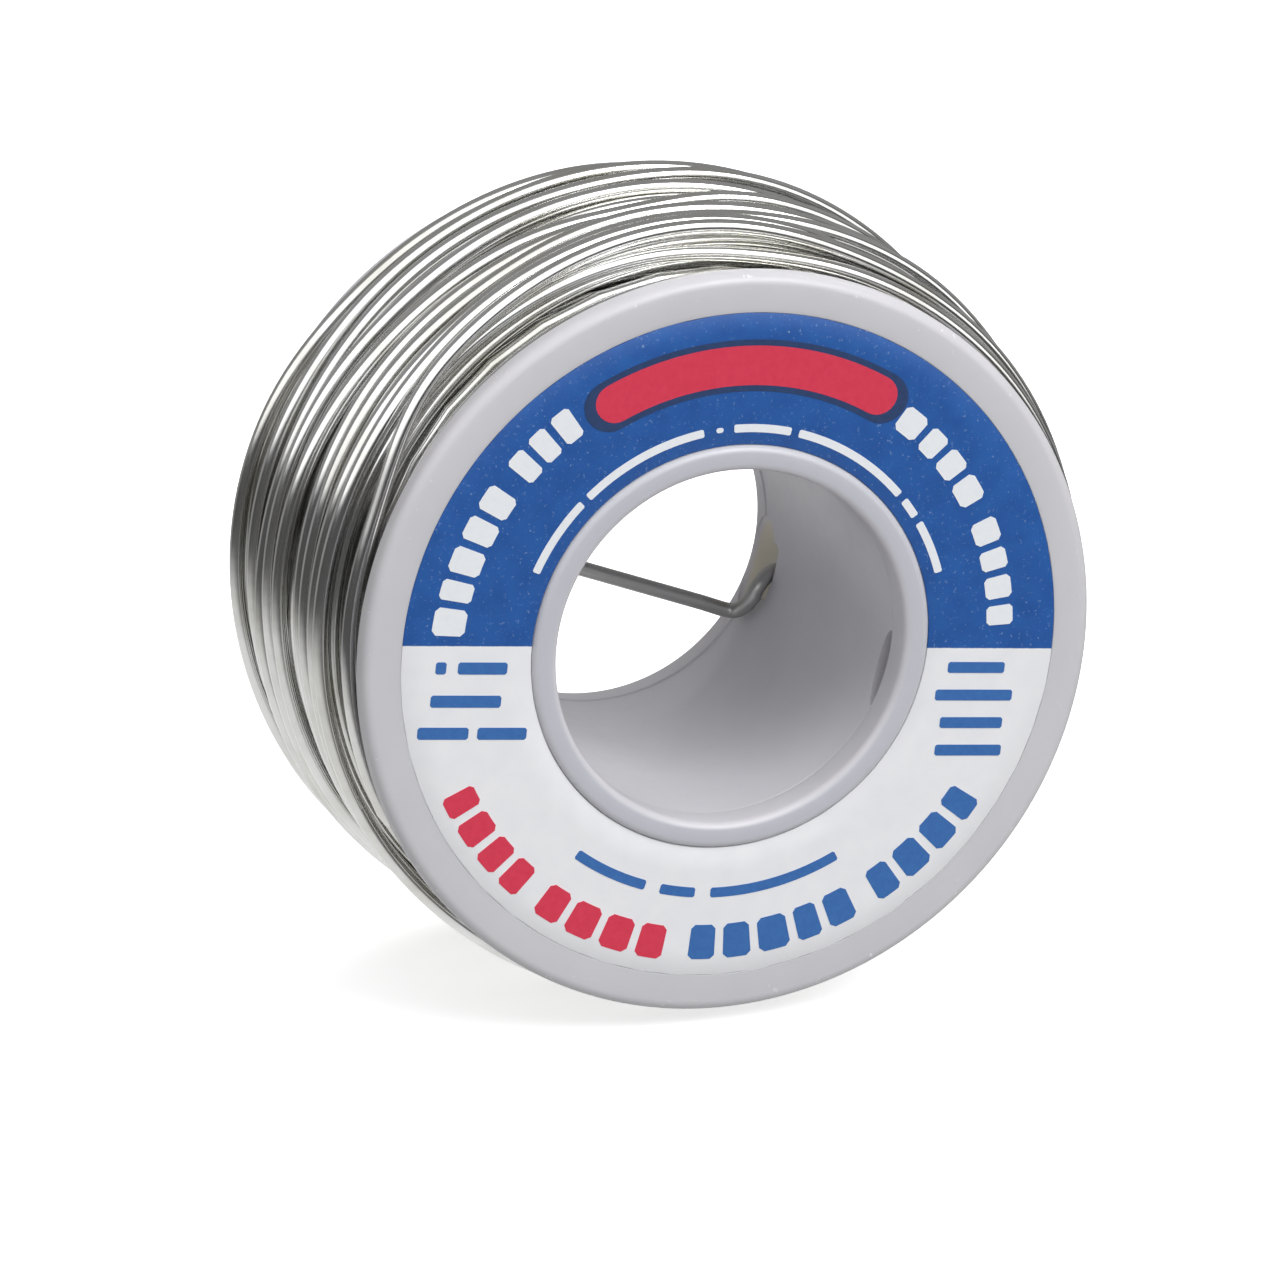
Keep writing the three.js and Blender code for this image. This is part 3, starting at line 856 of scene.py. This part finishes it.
class Print:
    """Ink laid on a label: small plain blocks, in words along arcs or straight lines."""

    def __init__(self, side, tilt, seed, under=0.0):
        self.side, self.tilt, self.under = side, math.radians(tilt), under
        self.random = np.random.default_rng(seed)
        self.points, self.faces = [], []

    def place(self, x, z, lift):
        """A point of the label's own plane, turned with the label and lifted off its face."""
        u = x * math.cos(self.tilt) - z * math.sin(self.tilt)
        v = x * math.sin(self.tilt) + z * math.cos(self.tilt)
        return (u, self.side * (LABEL_FACE + self.under + lift), v)

    def patch(self, outline):
        """A thin film with a closed outline, anticlockwise in the label's own plane."""
        base = len(self.points)
        n = len(outline)
        self.points += [self.place(x, z, lift) for lift in (INK_FOOT, INK_FACE) for x, z in outline]
        foot = list(range(base, base + n))[::-1]
        face = list(range(base + n, base + 2 * n))
        walls = [[base + k, base + (k + 1) % n, base + n + (k + 1) % n, base + n + k] for k in range(n)]
        self.faces += [face, foot] + walls

    def block(self, to_plane, start, end, low, high):
        """A block with eased corners, from start to end along the line and low to high across it."""
        ease = CORNER_EASE * min(end - start, high - low)
        corners = [(start, low), (end, low), (end, high), (start, high)]
        outline = []
        for k, (s, t) in enumerate(corners):
            sx, tx = (1 if s == start else -1) * ease, (1 if t == low else -1) * ease
            pair = [(s, t + tx), (s + sx, t)]
            outline += pair if k % 2 == 0 else pair[::-1]
        dense = []
        for k, (s, t) in enumerate(outline):
            s2, t2 = outline[(k + 1) % len(outline)]
            cuts = max(1, int(abs(s2 - s) / 0.5))  # long sides bend with the line
            dense += [(s + (s2 - s) * i / cuts, t + (t2 - t) * i / cuts) for i in range(cuts)]
        self.patch([to_plane(s, t) for s, t in dense])

    def row(self, to_plane, length, height, words, blocks=True):
        """Words that fill a length, as rows of plain blocks or, where they are small, as plain bars."""
        widths = [[self.random.uniform(*LETTER_WIDTHS) for _ in range(count)] for count in words]
        letters = sum(sum(w) + LETTER_GAP * (len(w) - 1) for w in widths)
        unit = length / (letters + WORD_GAP * (len(words) - 1))
        run = 0.0
        for word in widths:
            first = run
            for w in word:
                if blocks:
                    self.block(to_plane, run, run + w * unit, 0.0, height)
                run += (w + LETTER_GAP) * unit
            run -= LETTER_GAP * unit
            if not blocks:
                self.block(to_plane, first, run, 0.0, height)
            run += WORD_GAP * unit

    def arc(self, radius, height, start, end, words, inside=False, **how):
        """Words round an arc, from a start to an end angle in degrees about the label's middle. Their
        tops point outwards or, inside, inwards."""
        way = 1 if end > start else -1
        length = abs(math.radians(end - start)) * radius

        def to_plane(s, t):
            turn = math.radians(start) + way * s / radius
            r = radius + (height - t if inside else t)
            return r * math.cos(turn), r * math.sin(turn)

        self.row(to_plane, length, height, words, **how)

    def straight(self, x, z, length, height, words, **how):
        """Words along a level line that starts at x, z."""
        self.row(lambda s, t: (x + s, z + t), length, height, words, **how)

    def band(self, inner, outer, start, end, steps=48):
        """A plain band round an arc with half-round ends."""
        middle, half = (inner + outer) / 2, (outer - inner) / 2
        start, end = math.radians(start), math.radians(end)
        outline = []
        for radius, first, last, way in ((outer, start, end, 1), (inner, end, start, -1)):
            outline += [(radius, first + (last - first) * k / steps) for k in range(steps + 1)]
            for k in range(1, BAND_END_STEPS):
                turn = math.pi * k / BAND_END_STEPS
                outline.append((middle + way * half * math.cos(turn),
                                last + way * half * math.sin(turn) / middle))
        self.patch([(radius * math.cos(turn), radius * math.sin(turn)) for radius, turn in outline])

    def finish(self, name, material):
        """Makes the piece, with the faces of its blocks turned outwards."""
        made = make_object(name, self.points, self.faces, material)
        made.data.polygons.foreach_set("use_smooth", [False] * len(made.data.polygons))
        made.data.validate()
        work = bmesh.new()
        work.from_mesh(made.data)
        bmesh.ops.recalc_face_normals(work, faces=work.faces)
        work.to_mesh(made.data)
        work.free()
        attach(made, "root")


front_paper = printed_label_paper("printed_label_paper", LABEL_TILT, True)
rear_paper = printed_label_paper("plain_label_paper", 0.0, False)
white_ink = printing_ink("white_printing_ink", "#E9EDF4", "#F8FAFC")
red_ink = printing_ink("red_printing_ink", "#D22B47", "#E5405C")
navy_ink = printing_ink("navy_printing_ink", "#1B3157", "#2A4675")
blue_ink = printing_ink("blue_printing_ink", "#2A5FA6", "#3F78BC")

for name, side, paper, seed in (("front_paper_label", -1, front_paper, 21),
                                ("rear_paper_label", 1, rear_paper, 22)):
    label = label_ring(name, side, paper, seed)
    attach(label, "root")
    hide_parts("front_label" if side < 0 else "rear_label")

# angles here are about the label's own middle, so its tilt is already taken out
edging = Print(-1, LABEL_TILT, 30)
edging.band(25.5, 30.6, 63.0, 122.0)
edging.finish("front_print_navy", navy_ink)

white = Print(-1, LABEL_TILT, 31)
white.arc(27.2, 3.3, 178.0, 129.0, [5, 3])
white.arc(26.2, 2.7, 57.5, 5.0, [4, 4])
white.arc(21.45, 0.8, 160.5, 103.5, [7, 11], blocks=False)
white.arc(21.45, 0.8, 95.5, 20.5, [5, 11, 2, 5], blocks=False)
white.band(21.6, 22.1, 99.0, 99.6, steps=4)
white.finish("front_print_white", white_ink)

red = Print(-1, LABEL_TILT, 32)
red.arc(28.4, 3.4, -151.0, -97.0, [4, 4], inside=True)
red.finish("front_print_red", red_ink)

blue = Print(-1, LABEL_TILT, 33)
blue.arc(28.1, 3.5, -92.0, -29.5, [5, 4], inside=True)
blue.arc(24.3, 1.0, -123.0, -58.0, [4, 2, 6], inside=True, blocks=False)
for x, z, length, words in ((-29.7, -2.8, 7.2, [1, 3]), (-29.9, -6.1, 7.1, [4]),
                            (-30.9, -9.3, 11.0, [4, 4])):
    blue.straight(x, z, length, 1.2, words, blocks=False)
for x, z, length, words in ((22.6, -2.5, 5.9, [6]), (21.6, -5.3, 8.0, [7]), (22.4, -8.1, 6.5, [6]),
                            (22.2, -10.9, 6.9, [5])):
    blue.straight(x, z, length, 1.1, words, blocks=False)
blue.finish("front_print_blue", blue_ink)

back = Print(1, 0.0, 34)
back.arc(29.2, 2.2, 160.0, 20.0, [6, 4, 8])
back.arc(29.2, 2.2, -160.0, -20.0, [5, 7, 6], inside=True)
back.finish("rear_print_blue", blue_ink)

# the red band lies on the navy one, which edges it
band = Print(-1, LABEL_TILT, 35, under=INK_FACE)
band.band(26.1, 30.0, 64.2, 120.8)
band.finish("front_print_red_band", red_ink)


# Floor, light and surroundings

FLOOR_REACH = 6000


def make_floor():
    low = line[:, 2].min() - wire_radius  # the lowest turn rests on it
    corners = [(x * FLOOR_REACH, y * FLOOR_REACH, low) for x, y in ((-1, -1), (1, -1), (1, 1), (-1, 1))]
    mesh = bpy.data.meshes.new("floor")
    mesh.from_pydata((np.array(corners) * MM).tolist(), [], [(0, 1, 2, 3)])
    mesh.materials.append(matt_white_acrylic())
    floor = bpy.data.objects.new("floor", mesh)
    bpy.context.scene.collection.objects.link(floor)
    # the surroundings give the wire its reflections and the plastic its fill
    floor.visible_glossy = False
    floor.visible_diffuse = False


TENT_LIGHT = 1.35
FILL_LIGHT = 0.4
ROOM_WAY = (0.35, 0.94, 0.43)  # towards the dark room: behind, and a little to the right and up
HAZE_WAY = (0.15, 0.99, 0.6)
TENT_WAY = (0.10, 0.0, 1.0)  # towards the tent's top
ROOM_DEPTH = -5.0  # how fast the tent gives way to it
ROOM_FLOOR, TABLE_EDGE = -0.1, -0.12
# brightness from straight below to overhead: the light table, the room's walls, the tent's hem, the tent
TENT_STOPS = ((0.0, 0.62), (0.27, 0.55), (0.36, 0.06), (0.53, 0.05), (0.55, 0.2), (0.585, 1.0), (1.0, 1.0))


def surroundings():
    """What the bright metal mirrors: a white tent overhead and in front, a dark room behind, and a light
    table below. Matt surfaces take an even fill instead."""
    world = bpy.data.worlds.new("studio")
    bpy.context.scene.world = world
    world.use_nodes = True
    tree = world.node_tree
    tree.nodes.clear()
    way = add(tree, "TexCoord").outputs["Generated"]
    # how far up a direction looks, less how far into the dark room
    back = add(tree, "VectorMath", {0: way, 1: ROOM_WAY}, operation="DOT_PRODUCT")
    behind = add(tree, "Math", {0: back.outputs["Value"], 1: 0.0}, operation="MAXIMUM")
    drop = add(tree, "Math", {0: behind.outputs[0], 1: ROOM_DEPTH}, operation="MULTIPLY")
    rise = add(tree, "VectorMath", {0: way, 1: TENT_WAY}, operation="DOT_PRODUCT")
    upper = add(tree, "Math", {0: rise.outputs["Value"], 1: drop.outputs[0]}, operation="ADD")
    dark = add(tree, "Math", {0: upper.outputs[0], 1: ROOM_FLOOR}, operation="MAXIMUM")
    low = add(tree, "Math", {0: rise.outputs["Value"], 1: TABLE_EDGE}, operation="LESS_THAN")
    height = add(tree, "Mix", {
        0: low.outputs[0], VALUE_A: dark.outputs[0], VALUE_B: rise.outputs["Value"]}, data_type="FLOAT")
    place = add(tree, "MapRange", {"Value": height.outputs[0], LOW: -1.0, HIGH: 1.0})
    ramp = add(tree, "ValToRGB", {0: place.outputs[0]})
    for stop, bright in TENT_STOPS[1:-1]:
        ramp.color_ramp.elements.new(stop)
    for element, (stop, bright) in zip(ramp.color_ramp.elements, TENT_STOPS):
        element.position, element.color = stop, (bright, bright, bright, 1)
    # a faint haze keeps the room's darkest part grey
    over = add(tree, "VectorMath", {0: way, 1: HAZE_WAY}, operation="DOT_PRODUCT")
    haze = add(tree, "MapRange", {
        "Value": over.outputs["Value"], LOW: 0.15, HIGH: 0.5, TO_LOW: 0.0, TO_HIGH: 0.15})
    bright = add(tree, "Math", {0: ramp.outputs[0], 1: haze.outputs[0]}, operation="ADD")
    mirrored = add(tree, "Background", {"Color": bright.outputs[0], "Strength": TENT_LIGHT})
    fill = add(tree, "Background", {"Color": (1.0, 1.0, 1.0, 1.0), "Strength": FILL_LIGHT})
    kind = add(tree, "LightPath").outputs["Is Diffuse Ray"]
    shine = add(tree, "MixShader", {0: kind, 1: mirrored.outputs[0], 2: fill.outputs[0]})
    add(tree, "OutputWorld", {"Surface": shine.outputs[0]})


def soft_light(name, place, size, power, mirrored=False):
    """A round lamp aimed at the spool. The metal mirrors it only where that is asked for."""
    lamp = bpy.data.lights.new(name, "AREA")
    lamp.shape, lamp.size, lamp.energy = "DISK", size, power
    made = bpy.data.objects.new(name, lamp)
    made.location = place
    made.visible_glossy = mirrored
    made.rotation_mode = "QUATERNION"
    made.rotation_quaternion = (-Vector(place)).to_track_quat("-Z", "Y")
    bpy.context.scene.collection.objects.link(made)


make_floor()
surroundings()
# places and sizes in metres, power in watts
soft_light("overhead", (-0.1, -0.3, 1.2), 1.0, 3.2)
soft_light("front", (0.45, -0.95, 0.95), 0.9, 12.0, mirrored=True)
soft_light("back", (0.5, 0.9, 0.75), 0.6, 5.0)
bpy.context.scene.view_settings.view_transform = "Standard"
